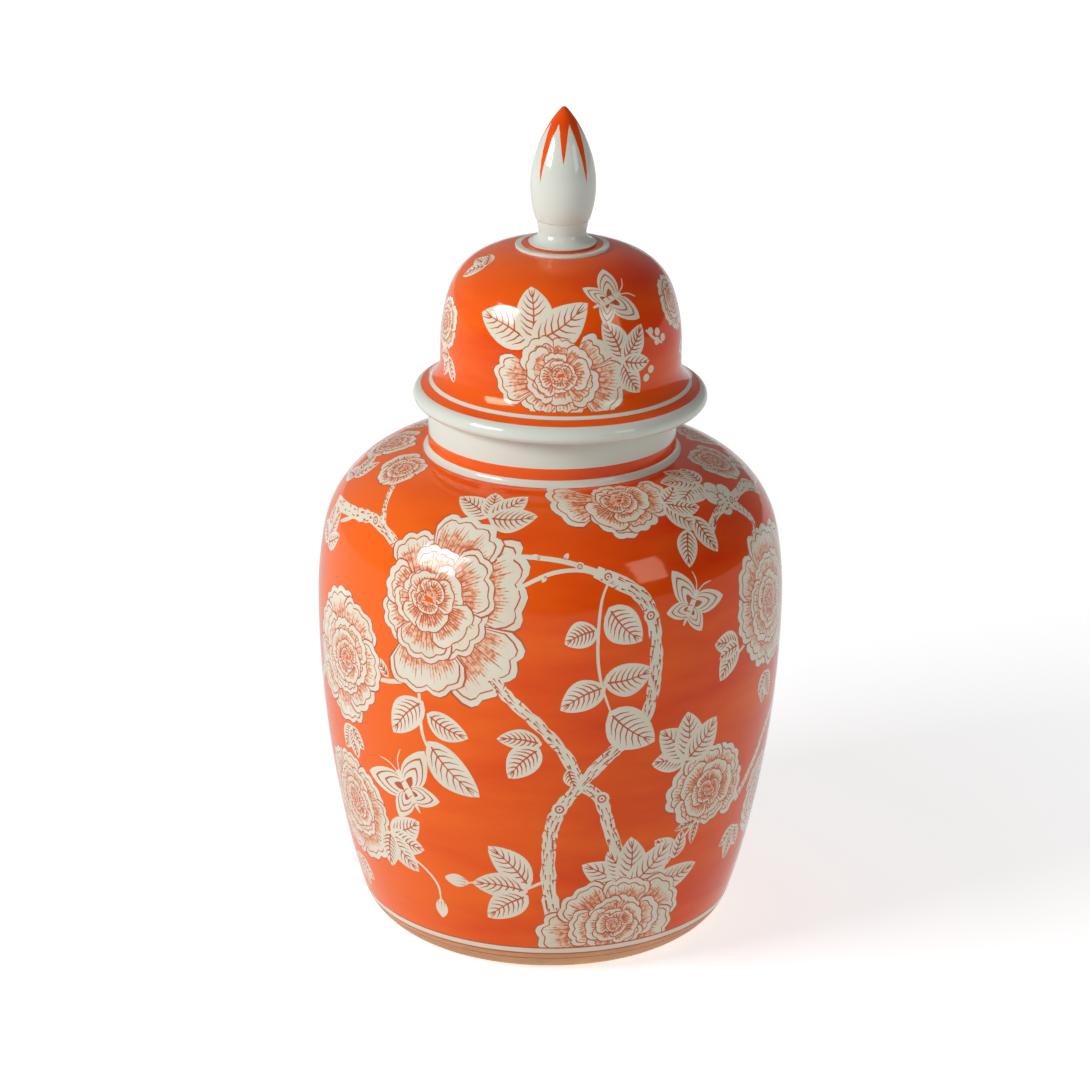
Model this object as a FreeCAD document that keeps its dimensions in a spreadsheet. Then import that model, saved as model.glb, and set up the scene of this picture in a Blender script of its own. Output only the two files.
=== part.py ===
"""A lidded ginger jar: the jar, its domed lid and the lotus-bud knob on the lid.

Every piece is a turned shape. Its outline is drawn as radius and height in a sketch on the XZ plane,
then revolved about the Z axis and hollowed by a groove. The jar stands on Z = 0 with its axis on Z.
The lid is drawn with its seat at height 0 and the knob with its base at height 0, and their placements
put them on the jar. All sizes are in millimetres and come from the Dimensions sheet.
"""

import FreeCAD, Part
import math
import os

import Sketcher

DIMENSIONS = {
    # jar, outside: radii ("reach") and heights of the points where one arc runs into the next
    "foot_radius": 67.0,
    "heel_reach": 77.2,
    "heel_height": 12.5,
    "heel_bend": 21.4,
    "flank_reach": 83.6,
    "flank_height": 36.6,
    "girth_radius": 95.0,
    "girth_height": 138.0,
    "brow_reach": 92.3,
    "brow_height": 166.8,
    "shoulder_reach": 75.0,
    "shoulder_height": 193.1,
    "neck_root_reach": 53.2,
    "neck_root_height": 200.2,
    "neck_radius": 50.2,
    "neck_root_bend": 3.0,
    "rim_height": 220.0,
    # jar, inside
    "wall": 5.0,
    "mouth_radius": 45.0,
    "mouth_lip_bend": 3.5,
    "floor_radius": 61.5,
    "floor_height": 12.0,
    "floor_edge_reach": 74.1,
    "floor_edge_height": 21.6,
    "recess_radius": 58.0,
    "recess_depth": 5.0,
    "recess_draft": 2.0,
    # lid, heights above its seat
    "lid_offset": 3.0,
    "lid_wall": 4.5,
    "collar_radius": 41.5,
    "collar_wall": 4.0,
    "collar_depth": 13.0,
    "seat_radius": 56.0,
    "brim_radius": 59.3,
    "brim_middle": 3.3,
    "flare_foot_reach": 56.6,
    "flare_foot_height": 7.0,
    "flare_bend": 11.5,
    "dome_radius": 48.5,
    "flare_top_height": 18.0,
    "dome_wall_height": 25.0,
    "dome_side_reach": 45.0,
    "dome_side_height": 46.5,
    "dome_brow_reach": 33.5,
    "dome_brow_height": 60.0,
    "pad_radius": 18.8,
    "pad_root_height": 64.4,
    "pad_height": 65.5,
    "crown_radius": 10.0,
    # knob, heights above the pad
    "knob_foot_radius": 13.6,
    "knob_foot_round": 1.0,
    "waist_radius": 9.5,
    "waist_height": 5.0,
    "waist_bend": 5.2,
    "calyx_reach": 10.4,
    "calyx_height": 9.9,
    "bud_root_reach": 10.9,
    "bud_root_height": 10.5,
    "bud_root_bend": 42.5,
    "bud_radius": 13.1,
    "bud_height": 24.0,
    "bud_side_reach": 11.5,
    "bud_side_height": 35.5,
    "bud_neck_reach": 6.6,
    "bud_neck_height": 47.5,
    "tip_shoulder_reach": 1.1,
    "tip_shoulder_height": 55.3,
    "tip_reach": 0.3,
    "tip_height": 55.7,
    # rounded edges
    "foot_round": 1.2,
    "rim_round": 1.0,
    "collar_round": 1.0,
    "pad_round": 0.5,
}

doc = FreeCAD.newDocument("GingerJar")
sheet = doc.addObject("Spreadsheet::Sheet", "Dimensions")
for row, (alias, value) in enumerate(DIMENSIONS.items(), start=1):
    sheet.set(f"A{row}", alias)
    sheet.set(f"B{row}", str(value))
    sheet.setAlias(f"B{row}", alias)
doc.recompute()


def size(terms):
    """The value of a size: a cell name, ((factor, cell name), ...) to be added up, or None for zero."""
    if terms is None:
        return 0.0
    if isinstance(terms, str):
        return DIMENSIONS[terms]
    return sum(factor * DIMENSIONS[alias] for factor, alias in terms)


def formula(terms):
    """The same size as a spreadsheet formula."""
    if isinstance(terms, str):
        return f"Dimensions.{terms}"
    return " + ".join(f"{factor} * Dimensions.{alias}" for factor, alias in terms)


def less(alias, wall, share=1.0):
    """A cell less a share of a wall's thickness."""
    return ((1.0, alias), (-share, wall))


class Outline:
    """A closed outline in a sketch on a body's XZ plane, drawn point by point from the axis.

    A point is (radius, height). Each edge is a line or an arc, and an arc either has its own radius or
    runs on smoothly from the edge before it.
    """

    def __init__(self, body, name, start):
        self.sketch = body.newObject("Sketcher::SketchObject", name)
        plane = [p for p in body.Origin.OriginFeatures if p.Role == "XZ_Plane"][0]
        self.sketch.AttachmentSupport = [(plane, "")]
        self.sketch.MapMode = "FlatFace"
        self.start = start
        self.at = (size(start[0]), size(start[1]))
        self.heading = (1.0, 0.0)
        self.ends = []

    def bind(self, constraint, terms):
        index = self.sketch.addConstraint(constraint)
        self.sketch.setExpression(f"Constraints[{index}]", formula(terms))

    def hold(self, edge, end, point):
        """Fixes one end of an edge at a point. A point on an axis of the sketch lies on that axis."""
        for way, terms, axis in (("DistanceX", point[0], -2), ("DistanceY", point[1], -1)):
            if terms is None:
                self.sketch.addConstraint(Sketcher.Constraint("PointOnObject", edge, end, axis))
            else:
                self.bind(Sketcher.Constraint(way, -1, 1, edge, end, size(terms)), terms)

    def add(self, curve, first, last, point, smooth=False):
        """Adds an edge whose sketch ends are numbered first and last, and joins it to the one before."""
        edge = self.sketch.addGeometry(curve, False)
        if self.ends:
            before = self.ends[-1]
            kind = "Tangent" if smooth else "Coincident"
            self.sketch.addConstraint(Sketcher.Constraint(kind, before[0], before[2], edge, first))
        else:
            self.hold(edge, first, self.start)
        self.ends.append((edge, first, last))
        self.at = (size(point[0]), size(point[1]))
        self.hold(edge, last, point)
        return edge

    def line(self, radius, height):
        """A straight edge to a point."""
        to = (size(radius), size(height))
        run = (to[0] - self.at[0], to[1] - self.at[1])
        curve = Part.LineSegment(FreeCAD.Vector(*self.at, 0), FreeCAD.Vector(*to, 0))
        self.heading = (run[0] / math.hypot(*run), run[1] / math.hypot(*run))
        self.add(curve, 1, 2, (radius, height))

    def curve_to(self, centre, left, radius, height, smooth):
        """An arc about a centre to a point, turning left (anticlockwise) or right."""
        to = (size(radius), size(height))
        reach = math.hypot(to[0] - centre[0], to[1] - centre[1])
        angles = [math.atan2(p[1] - centre[1], p[0] - centre[0]) for p in (self.at, to)]
        if not left:
            angles.reverse()
        if angles[1] < angles[0]:
            angles[1] += 2 * math.pi
        circle = Part.Circle(FreeCAD.Vector(*centre, 0), FreeCAD.Vector(0, 0, 1), reach)
        first, last = (1, 2) if left else (2, 1)
        edge = self.add(Part.ArcOfCircle(circle, *angles), first, last, (radius, height), smooth)
        out = ((to[0] - centre[0]) / reach, (to[1] - centre[1]) / reach)
        self.heading = (-out[1], out[0]) if left else (out[1], -out[0])
        return edge

    def arc(self, radius, height, bend, left=True):
        """An arc of a given radius to a point."""
        to = (size(radius), size(height))
        chord = (to[0] - self.at[0], to[1] - self.at[1])
        length = math.hypot(*chord)
        rise = math.sqrt(size(bend) ** 2 - (length / 2) ** 2) * (1 if left else -1)
        centre = (
            (self.at[0] + to[0]) / 2 - chord[1] / length * rise,
            (self.at[1] + to[1]) / 2 + chord[0] / length * rise,
        )
        edge = self.curve_to(centre, left, radius, height, False)
        self.bind(Sketcher.Constraint("Radius", edge, size(bend)), bend)

    def bend(self, radius, height):
        """An arc to a point, running on smoothly from the edge before it."""
        to = (size(radius), size(height))
        side = (-self.heading[1], self.heading[0])
        run = (to[0] - self.at[0], to[1] - self.at[1])
        reach = (run[0] ** 2 + run[1] ** 2) / (2 * (run[0] * side[0] + run[1] * side[1]))
        centre = (self.at[0] + side[0] * reach, self.at[1] + side[1] * reach)
        self.curve_to(centre, reach > 0, radius, height, True)

    def close(self):
        """A straight edge back to the start."""
        first = FreeCAD.Vector(size(self.start[0]), size(self.start[1]), 0)
        curve = Part.LineSegment(FreeCAD.Vector(*self.at, 0), first)
        edge = self.sketch.addGeometry(curve, False)
        self.sketch.addConstraint(
            Sketcher.Constraint("Coincident", self.ends[-1][0], self.ends[-1][2], edge, 1)
        )
        self.sketch.addConstraint(
            Sketcher.Constraint("Coincident", edge, 2, self.ends[0][0], self.ends[0][1])
        )
        return self.sketch


def turned(body, kind, name, sketch):
    """Revolves a sketch a full turn about the Z axis, as a Revolution that adds or a Groove that cuts."""
    feature = body.newObject(f"PartDesign::{kind}", name)
    feature.Profile = sketch
    feature.ReferenceAxis = (sketch, ["V_Axis"])
    feature.Angle = 360.0
    before = body.Shape.Volume if kind == "Groove" else 0.0
    doc.recompute()
    if abs(body.Shape.Volume - before) < 1.0:
        raise RuntimeError(f"{name} changed nothing")
    return feature


def rounded(body, name, rings, radius):
    """Rounds the circular edges that lie at the given (radius, height) points."""
    base = body.Tip
    edges = []
    for number, edge in enumerate(base.Shape.Edges, start=1):
        if edge.Degenerated or not isinstance(edge.Curve, Part.Circle):
            continue
        place = (edge.Curve.Radius, edge.Curve.Center.z)
        if any(math.dist(place, (size(r), size(z))) < 0.01 for r, z in rings):
            edges.append(f"Edge{number}")
    if len(edges) != len(rings):
        raise RuntimeError(f"{name} found {len(edges)} edges for {len(rings)} rings")
    feature = body.newObject("PartDesign::Fillet", name)
    feature.Base = (base, edges)
    feature.Radius = size(radius)
    feature.setExpression("Radius", formula(radius))
    doc.recompute()


def new_body(name):
    body = doc.addObject("PartDesign::Body", name)
    body.Label = name
    return body


def make_jar():
    """The jar: a foot ring, a belly widest above its middle, a round shoulder and a short upright neck."""
    body = new_body("jar_body")
    outside = Outline(body, "JarOutside", (None, "recess_depth"))
    outside.line(((1.0, "recess_radius"), (-1.0, "recess_draft")), "recess_depth")
    outside.line("recess_radius", None)
    outside.line("foot_radius", None)
    outside.arc("heel_reach", "heel_height", "heel_bend")
    outside.bend("flank_reach", "flank_height")
    outside.bend("girth_radius", "girth_height")
    outside.bend("brow_reach", "brow_height")
    outside.bend("shoulder_reach", "shoulder_height")
    outside.bend("neck_root_reach", "neck_root_height")
    neck_foot_height = ((1.0, "neck_root_height"), (1.0, "neck_root_bend"))
    outside.arc("neck_radius", neck_foot_height, "neck_root_bend", left=False)
    outside.line("neck_radius", "rim_height")
    outside.line(None, "rim_height")
    turned(body, "Revolution", "JarBlank", outside.close())

    inside = Outline(body, "JarInside", (None, "floor_height"))
    inside.line("floor_radius", "floor_height")
    inside.bend("floor_edge_reach", "floor_edge_height")
    inside.bend(less("girth_radius", "wall"), "girth_height")
    inside.bend(less("brow_reach", "wall"), "brow_height")
    inside.bend(less("shoulder_reach", "wall", 0.5), less("shoulder_height", "wall", 0.85))
    lip_reach = ((1.0, "mouth_radius"), (1.0, "mouth_lip_bend"))
    lip_height = less("neck_root_height", "wall")
    inside.bend(lip_reach, lip_height)
    inside.arc("mouth_radius", lip_height + ((1.0, "mouth_lip_bend"),), "mouth_lip_bend", left=False)
    inside.line("mouth_radius", "rim_height")
    inside.line(None, "rim_height")
    turned(body, "Groove", "JarHollow", inside.close())

    rounded(body, "FootEdges", (("foot_radius", None), ("recess_radius", None)), "foot_round")
    rounded(body, "RimEdges", (("neck_radius", "rim_height"), ("mouth_radius", "rim_height")), "rim_round")
    return body


def make_lid():
    """The lid: a locating collar, a flat seat, a rolled brim, a waisted wall, a dome and a low pad."""
    body = new_body("lid_dome")
    collar_foot = ((-1.0, "collar_depth"),)
    outside = Outline(body, "LidOutside", (None, collar_foot))
    outside.line("collar_radius", collar_foot)
    outside.line("collar_radius", None)
    outside.line("seat_radius", None)
    outside.bend("brim_radius", "brim_middle")
    outside.bend("flare_foot_reach", "flare_foot_height")
    outside.arc("dome_radius", "flare_top_height", "flare_bend", left=False)
    outside.line("dome_radius", "dome_wall_height")
    outside.bend("dome_side_reach", "dome_side_height")
    outside.bend("dome_brow_reach", "dome_brow_height")
    outside.bend("pad_radius", "pad_root_height")
    outside.line("pad_radius", "pad_height")
    outside.line(None, "pad_height")
    turned(body, "Revolution", "LidBlank", outside.close())

    inside = Outline(body, "LidInside", (None, collar_foot))
    inside.line(less("collar_radius", "collar_wall"), collar_foot)
    inside.line(less("collar_radius", "collar_wall"), "brim_middle")
    inside.line(less("dome_radius", "lid_wall"), "flare_top_height")
    inside.line(less("dome_radius", "lid_wall"), "dome_wall_height")
    inside.bend(less("dome_side_reach", "lid_wall"), "dome_side_height")
    inside.bend(less("dome_brow_reach", "lid_wall", 0.55), less("dome_brow_height", "lid_wall", 0.85))
    inside.bend("crown_radius", less("pad_root_height", "lid_wall"))
    inside.line(None, less("pad_root_height", "lid_wall"))
    turned(body, "Groove", "LidHollow", inside.close())

    collar_rings = (("collar_radius", collar_foot), (less("collar_radius", "collar_wall"), collar_foot))
    rounded(body, "CollarEdges", collar_rings, "collar_round")
    rounded(body, "PadEdge", (("pad_radius", "pad_height"),), "pad_round")
    body.setExpression("Placement.Base.x", "Dimensions.lid_offset")
    body.setExpression("Placement.Base.z", "Dimensions.rim_height")
    return body


def make_knob():
    """The knob: a round foot, a waist, a small calyx and a tall pointed lotus bud, solid clay."""
    body = new_body("lid_finial")
    outside = Outline(body, "KnobOutside", (None, None))
    outside.line(less("knob_foot_radius", "knob_foot_round"), None)
    outside.arc("knob_foot_radius", "knob_foot_round", "knob_foot_round")
    outside.arc("waist_radius", "waist_height", "waist_bend", left=False)
    outside.line("calyx_reach", "calyx_height")
    outside.line("bud_root_reach", "bud_root_height")
    outside.arc("bud_radius", "bud_height", "bud_root_bend")
    outside.bend("bud_side_reach", "bud_side_height")
    outside.bend("bud_neck_reach", "bud_neck_height")
    outside.bend("tip_shoulder_reach", "tip_shoulder_height")
    outside.bend("tip_reach", "tip_height")
    outside.line(None, "tip_height")
    turned(body, "Revolution", "Knob", outside.close())
    body.setExpression("Placement.Base.x", "Dimensions.lid_offset")
    body.setExpression("Placement.Base.z", "Dimensions.rim_height + Dimensions.pad_height")
    return body


pieces = [make_jar(), make_lid(), make_knob()]
doc.recompute()

faults = [o.Name for o in doc.Objects if "Invalid" in o.State or "Error" in o.State]
faults += [p.Name for p in pieces if p.Shape.isNull() or not p.Shape.isValid()]
if faults:
    raise RuntimeError(f"these objects failed: {faults}")

os.makedirs("parts", exist_ok=True)
for piece in pieces:
    piece.Shape.exportStep(f"parts/{piece.Label}.step")
    box = piece.Shape.BoundBox
    print(piece.Label, round(piece.Shape.Volume), [round(v, 2) for v in (box.XMin, box.XMax, box.ZMin, box.ZMax)])
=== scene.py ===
"""The looks of a lidded ginger jar: glazed ceramic with painted flowers, leaves and branches.

Each piece is one closed turned shell. Its outline is revolved, and the painting is cut into the
surface: the shell's outside is unrolled flat, every painted shape is laid on it as a polygon, and the
borders that show become edges between faces with a material each. Sizes are in millimetres and
angles in degrees until a mesh is made. Angle 0 is the front, -Y, and grows towards +X.
"""

import math
import random

import bmesh
import bpy
import numpy as np
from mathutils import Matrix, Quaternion, Vector
from mathutils.bvhtree import BVHTree
from mathutils.geometry import delaunay_2d_cdt


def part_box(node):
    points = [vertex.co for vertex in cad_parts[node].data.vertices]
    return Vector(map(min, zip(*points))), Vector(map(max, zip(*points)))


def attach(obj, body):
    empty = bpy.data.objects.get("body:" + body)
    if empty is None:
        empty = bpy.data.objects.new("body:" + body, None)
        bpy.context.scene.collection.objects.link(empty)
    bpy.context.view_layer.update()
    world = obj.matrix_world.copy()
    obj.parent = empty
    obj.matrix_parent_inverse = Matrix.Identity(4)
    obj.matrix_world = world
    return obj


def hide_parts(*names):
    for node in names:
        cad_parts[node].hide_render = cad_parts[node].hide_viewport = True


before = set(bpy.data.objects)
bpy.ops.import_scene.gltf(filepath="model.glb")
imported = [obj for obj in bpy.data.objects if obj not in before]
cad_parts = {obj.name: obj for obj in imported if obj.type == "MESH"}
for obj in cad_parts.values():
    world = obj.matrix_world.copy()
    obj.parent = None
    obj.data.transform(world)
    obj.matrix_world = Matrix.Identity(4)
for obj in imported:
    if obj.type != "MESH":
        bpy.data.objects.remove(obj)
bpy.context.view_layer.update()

MM = 0.001

# Paints, in the order of each piece's material slots.
GROUND, CREAM, LINE, WHITE, BISCUIT, HATCH = range(6)

# Where the pieces stand, from the frame: the jar's rim, the top of the lid's pad, and how far the lid
# sits off the jar's axis.
RIM = round(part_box("jar_body")[1][2] / MM, 2)
PAD = round(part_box("lid_dome")[1][2] / MM, 2)
LID_OFFSET = round((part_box("lid_dome")[0][0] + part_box("lid_dome")[1][0]) / 2 / MM, 1)

LEAST_RADIUS = 1.0
ROW_TURN = math.radians(7)
SAME_PLACE = 1e-6

# Between these X, in metres, the orange glaze's colour turns from its own tone to a lighter one: painted
# side light toward the -X side, where the key lamp shines.
SIDE_LIGHT_START, SIDE_LIGHT_FULL = 0.02, -0.085


# ---- outlines


class Edge:
    """One line or arc of an outline, with points and outward normals along its length."""

    def __init__(self, start, end, centre=None, left=True):
        self.start = start
        self.end = end
        self.centre = centre
        self.turn = 1.0 if left else -1.0
        if centre is None:
            self.length = math.dist(start, end)
            return
        self.reach = math.dist(start, centre)
        self.angle = math.atan2(start[1] - centre[1], start[0] - centre[0])
        swept = math.atan2(end[1] - centre[1], end[0] - centre[0]) - self.angle
        self.swept = (swept * self.turn) % (2 * math.pi)
        self.length = self.reach * self.swept

    def point(self, along):
        """Radius and height at distances along the edge."""
        share = np.asarray(along, float) / self.length
        if self.centre is None:
            return [a + (b - a) * share for a, b in zip(self.start, self.end)]
        angle = self.angle + self.turn * self.swept * share
        return self.centre[0] + self.reach * np.cos(angle), self.centre[1] + self.reach * np.sin(angle)

    def normal(self, radius, height):
        """The outward normal, as radius and height parts, at points on the edge."""
        if self.centre is None:
            run = self.heading()
            return np.full_like(radius, run[1]), np.full_like(radius, -run[0])
        out = (radius - self.centre[0]) * self.turn, (height - self.centre[1]) * self.turn
        length = np.hypot(*out)
        return out[0] / length, out[1] / length

    def heading(self):
        """The direction in which the edge ends."""
        if self.centre is None:
            return (self.end[0] - self.start[0]) / self.length, (self.end[1] - self.start[1]) / self.length
        out = (self.end[0] - self.centre[0]) / self.reach, (self.end[1] - self.centre[1]) / self.reach
        return -out[1] * self.turn, out[0] * self.turn


class Outline:
    """A turned piece's outline, walked from the axis underneath, up the outside and back to the axis."""

    def __init__(self, radius, height):
        self.edges = []
        self.at = (radius, height)
        self.marks = {}

    def mark(self, name):
        """Names the edge that comes next."""
        self.marks[name] = len(self.edges)
        return self

    def line(self, radius, height, *arc):
        """A line to a new end, or an arc if its centre and its side are given."""
        self.edges.append(Edge(self.at, (radius, height), *arc))
        self.at = (radius, height)
        return self

    def arc(self, radius, height, bend, left=True):
        """An arc of a given radius, turning left or right."""
        length = math.dist(self.at, (radius, height))
        across = ((radius - self.at[0]) / length, (height - self.at[1]) / length)
        rise = math.sqrt(max(0.0, bend**2 - (length / 2) ** 2)) * (1 if left else -1)
        centre = (
            (self.at[0] + radius) / 2 - across[1] * rise,
            (self.at[1] + height) / 2 + across[0] * rise,
        )
        return self.line(radius, height, centre, left)

    def bend(self, radius, height):
        """An arc that runs on smoothly from the edge before it."""
        ahead = self.edges[-1].heading()
        side = (-ahead[1], ahead[0])
        run = (radius - self.at[0], height - self.at[1])
        reach = (run[0] ** 2 + run[1] ** 2) / (2 * (run[0] * side[0] + run[1] * side[1]))
        centre = (self.at[0] + side[0] * reach, self.at[1] + side[1] * reach)
        return self.line(radius, height, centre, reach > 0)

    def corner(self, radius, height, cut, towards):
        """A line that stops a cut short of a corner, and a round over it to the way of the next edge."""
        length = math.dist(self.at, (radius, height))
        ahead = math.dist(towards, (radius, height))
        if length > cut + 0.01:
            share = cut / length
            self.line(radius + (self.at[0] - radius) * share, height + (self.at[1] - height) * share)
        share = cut / ahead
        return self.bend(radius + (towards[0] - radius) * share, height + (towards[1] - height) * share)

    def back(self, other):
        """Another outline's edges, walked from its end to its start."""
        for edge in reversed(other.edges):
            self.edges.append(Edge(edge.end, edge.start, edge.centre, edge.turn < 0))
        self.at = other.edges[0].start
        return self

    def finish(self):
        """Works out where each edge starts along the whole outline."""
        self.starts = np.concatenate([[0.0], np.cumsum([e.length for e in self.edges])])
        along = np.linspace(0, self.starts[-1], 4000)
        self.samples = (along, *self.point(along))
        return self

    def edge_at(self, along):
        last = len(self.edges) - 1
        return np.clip(np.searchsorted(self.starts, along, side="right") - 1, 0, last)

    def point(self, along):
        along = np.atleast_1d(np.asarray(along, float))
        which = self.edge_at(along)
        radius = np.zeros(len(along))
        height = np.zeros(len(along))
        for number, edge in enumerate(self.edges):
            here = which == number
            if here.any():
                radius[here], height[here] = edge.point(along[here] - self.starts[number])
        return radius, height

    def along_at(self, height, first, last):
        """The distance along the outline where the stretch from edge first to edge last has a height."""
        along, _, heights = self.samples
        inside = (along >= self.starts[first]) & (along <= self.starts[last + 1])
        return float(np.interp(height, heights[inside], along[inside]))

    def rows(self, spacing, fine_bend):
        """Distances along the outline for rows of vertices: evenly spaced, and closer on tight arcs."""
        rows = [0.0]
        for number, edge in enumerate(self.edges):
            count = max(1, math.ceil(edge.length / spacing))
            if edge.centre is not None:
                count = max(count, math.ceil(edge.swept / fine_bend))
            rows += [self.starts[number] + edge.length * (k + 1) / count for k in range(count)]
        return rows


# ---- painting


class Canvas:
    """The unrolled outside of a shell, which painted shapes are laid on in order.

    It covers the outline's edges from the mark first up to the mark after. Each shape is kept as its
    corners, its paint, and whether it may reach past the seam at the back.
    """

    def __init__(self, outline, first, after, columns):
        self.outline = outline
        self.columns = columns
        self.first = outline.marks[first]
        self.last = outline.marks[after] - 1
        self.low = outline.starts[self.first]
        self.high = outline.starts[self.last + 1]
        self.reference = outline.samples[1].max()
        self.width = 2 * math.pi * self.reference
        self.shapes = []

    def along_at(self, height):
        """The distance along the outline of a height on the canvas."""
        return self.outline.along_at(height, self.first, self.last)

    def radius_at(self, along):
        """The surface's radius, never so small that a shape near the axis would wrap round it."""
        return np.maximum(self.outline.point(along)[0], LEAST_RADIUS)

    def band(self, low, high, paint):
        """A stripe all the way round, between two heights; None stands for the canvas's own edge."""
        below = self.low if low is None else self.along_at(low)
        above = self.high if high is None else self.along_at(high)
        across = np.linspace(-self.width / 2, self.width / 2, self.columns + 1)
        corners = [(x, below) for x in across] + [(x, above) for x in across[::-1]]
        self.shapes.append((corners, paint, False))

    def stripes(self, low, *steps):
        """Stripes on top of each other, each given as its upper height and its paint."""
        for high, paint in steps:
            self.band(low, high, paint)
            low = high


class Side:
    """The front or the back of a canvas, with its angles counted from the middle of that side."""

    def __init__(self, canvas, middle):
        self.canvas = canvas
        self.middle = middle

    def spot(self, angle, height, turn=0.0):
        """A spot at an angle and a height."""
        angle = math.radians(angle + self.middle)
        return Spot(self.canvas, angle, self.canvas.along_at(height), math.radians(turn))

    def places(self, *pairs):
        """Angles and heights, with the angles counted from the front of the canvas."""
        return [(angle + self.middle, height) for angle, height in pairs]


class Spot:
    """A place on a canvas with its own flat coordinates, x to the right and y up the surface."""

    def __init__(self, canvas, angle, along, turn):
        self.canvas = canvas
        self.angle = angle
        self.along = along
        self.turn = turn

    def flat(self, angle, height):
        """Another place on the surface, in the coordinates of a spot that isn't turned."""
        along = self.canvas.along_at(height)
        radius = self.canvas.outline.point(along)[0][0]
        return (math.radians(angle) - self.angle) * radius, along - self.along

    def turned(self, x, y):
        """A point's offset across and along the canvas."""
        c, s = math.cos(self.turn), math.sin(self.turn)
        return x * c - y * s, x * s + y * c

    def paint(self, points, paint):
        """Lays a polygon on the canvas."""
        x, y = self.turned(*np.asarray(points, float).T)
        along = self.along + y
        across = self.canvas.reference * (self.angle + x / self.canvas.radius_at(along))
        area = np.sum(across * np.roll(along, -1) - np.roll(across, -1) * along)
        corners = list(zip(across, along))
        self.canvas.shapes.append((corners if area > 0 else corners[::-1], paint, True))

    def at(self, x, y, turn=0.0):
        """A spot at a point of this one, turned further."""
        across, up = self.turned(x, y)
        along = self.along + up
        angle = self.angle + across / self.canvas.radius_at(along)[0]
        return Spot(self.canvas, angle, along, self.turn + math.radians(turn))


def smooth_path(points, per_span):
    """A Catmull-Rom curve through points."""
    p = [np.array(q, float) for q in points]
    p = [2 * p[0] - p[1]] + p + [2 * p[-1] - p[-2]]
    path = []
    for a, b, c, d in zip(p, p[1:], p[2:], p[3:]):
        for u in np.arange(per_span) / per_span:
            path.append(0.5 * (2 * b + (c - a) * u + (2 * a - 5 * b + 4 * c - d) * u**2
                               + (3 * b - a - 3 * c + d) * u**3))
    path.append(p[-2])
    return np.array(path)


def sides(path, widths):
    """The polygon that a stroke covers, from its middle line and its width at each point."""
    ahead = np.gradient(path, axis=0)
    ahead /= np.maximum(np.linalg.norm(ahead, axis=1)[:, None], 1e-9)
    out = np.stack([-ahead[:, 1], ahead[:, 0]], 1) * np.asarray(widths)[:, None] / 2
    return np.concatenate([path + out, (path - out)[::-1]])


def stroke(spot, points, width, paint, taper=0.35):
    """A thin brush line that narrows towards both ends."""
    path = smooth_path(points, 4)
    share = np.linspace(0, 1, len(path))
    spot.paint(sides(path, width * (1 - taper * np.abs(2 * share - 1) ** 2)), paint)


def dash(spot, start, end, width, paint=LINE):
    """A short pointed mark."""
    start, end = np.array(start), np.array(end)
    run = end - start
    side = np.array([-run[1], run[0]]) / max(np.hypot(*run), 1e-9) * width / 2
    spot.paint([start - side, end, start + side], paint)


def dot(spot, x, y, radius, paint, corners):
    angles = np.arange(corners) * 2 * math.pi / corners
    spot.paint(np.stack([x + radius * np.cos(angles), y + radius * np.sin(angles)], 1), paint)


def ring(spot, x, y, outer, inner, corners):
    """A thin circle with cream inside."""
    dot(spot, x, y, outer, LINE, corners)
    dot(spot, x, y, inner, CREAM, corners)


def leaf(spot, length, width, bend=0.12):
    """A leaf that grows from the spot along its y axis, with a midrib and slanting veins."""
    u = np.linspace(0, 1, 13)
    half = width / 2 * np.sin(math.pi * u**0.85) ** 0.75
    half[0] = 0.25
    half[-1] = 0.0
    rib = np.stack([bend * length * np.sin(math.pi * u) * 0.5, length * u], 1)
    left = rib - np.stack([half, 0 * half], 1)
    right = rib + np.stack([half, 0 * half], 1)
    spot.paint(np.concatenate([right, left[-2::-1]]), CREAM)
    inner = rib[1:-1]
    spot.paint(sides(inner, np.linspace(0.85, 0.35, len(inner))), LINE)
    veins = 5 if length < 14 else 7
    for k in range(veins):
        share = 0.12 + 0.66 * k / (veins - 1)
        root = np.array([np.interp(share, u, rib[:, 0]), length * share])
        out = np.interp(min(share + 0.16, 1), u, half) * 0.74
        for side in (-1, 1):
            tip = np.array([np.interp(share + 0.16, u, rib[:, 0]) + side * out, length * (share + 0.17)])
            middle = (root + tip) / 2 + np.array([0, -0.03 * length])
            spot.paint(sides(np.array([root, middle, tip]), [0.62, 0.6, 0.15]), LINE)


def spray(spot, turns, length, width):
    """Leaves fanned out from one point."""
    for turn, share in turns:
        leaf(spot.at(0, 0, turn), length * share, width * share)


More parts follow.
